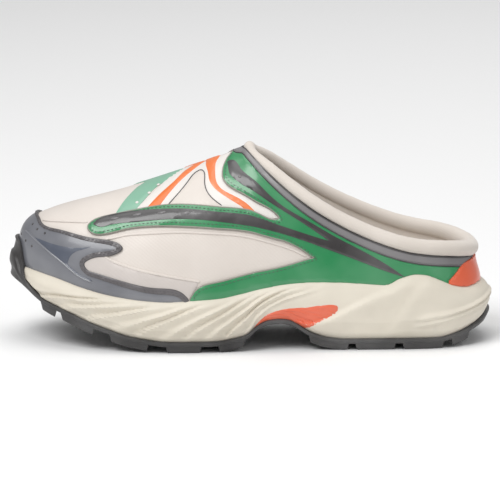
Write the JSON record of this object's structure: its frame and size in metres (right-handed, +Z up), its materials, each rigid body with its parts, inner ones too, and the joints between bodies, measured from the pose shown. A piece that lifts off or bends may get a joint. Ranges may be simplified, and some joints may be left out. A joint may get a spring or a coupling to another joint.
{
  "type": "slip-on sneaker",
  "caption": "Slip-on running shoe with a low heel collar, cupped sculpted midsole, lugged rubber outsole, moulded side cage, toe cap and padded collar roll.",
  "frame": {"origin": "middle of the shoe's length and width, at the floor that it stands on", "axes": "-X towards the toe, +X towards the heel, -Y towards the outer side of this left shoe, +Z up"},
  "size_m": [0.3, 0.108, 0.1236],
  "materials": {
    "outsole": "matt black rubber",
    "midsole": "cream moulded foam",
    "arch_insert": "orange moulded plastic",
    "insole": "beige cloth over foam",
    "upper": "cream coated cloth, satin",
    "toe_cap": "grey-blue glossy film",
    "cage": "green glossy film",
    "heel_piece": "orange glossy film",
    "collar_band": "grey glossy film",
    "collar_roll": "cream padded lining"
  },
  "bodies": {
    "root": {"outsole": "outsole", "midsole": "midsole", "arch_insert_lateral": "arch_insert", "arch_insert_medial": "arch_insert", "insole": "insole", "upper": "upper", "toe_cap": "toe_cap", "cage_lateral": "cage", "cage_medial": "cage", "heel_piece": "heel_piece", "collar_band": "collar_band", "collar_roll": "collar_roll"}
  },
  "joints": []
}
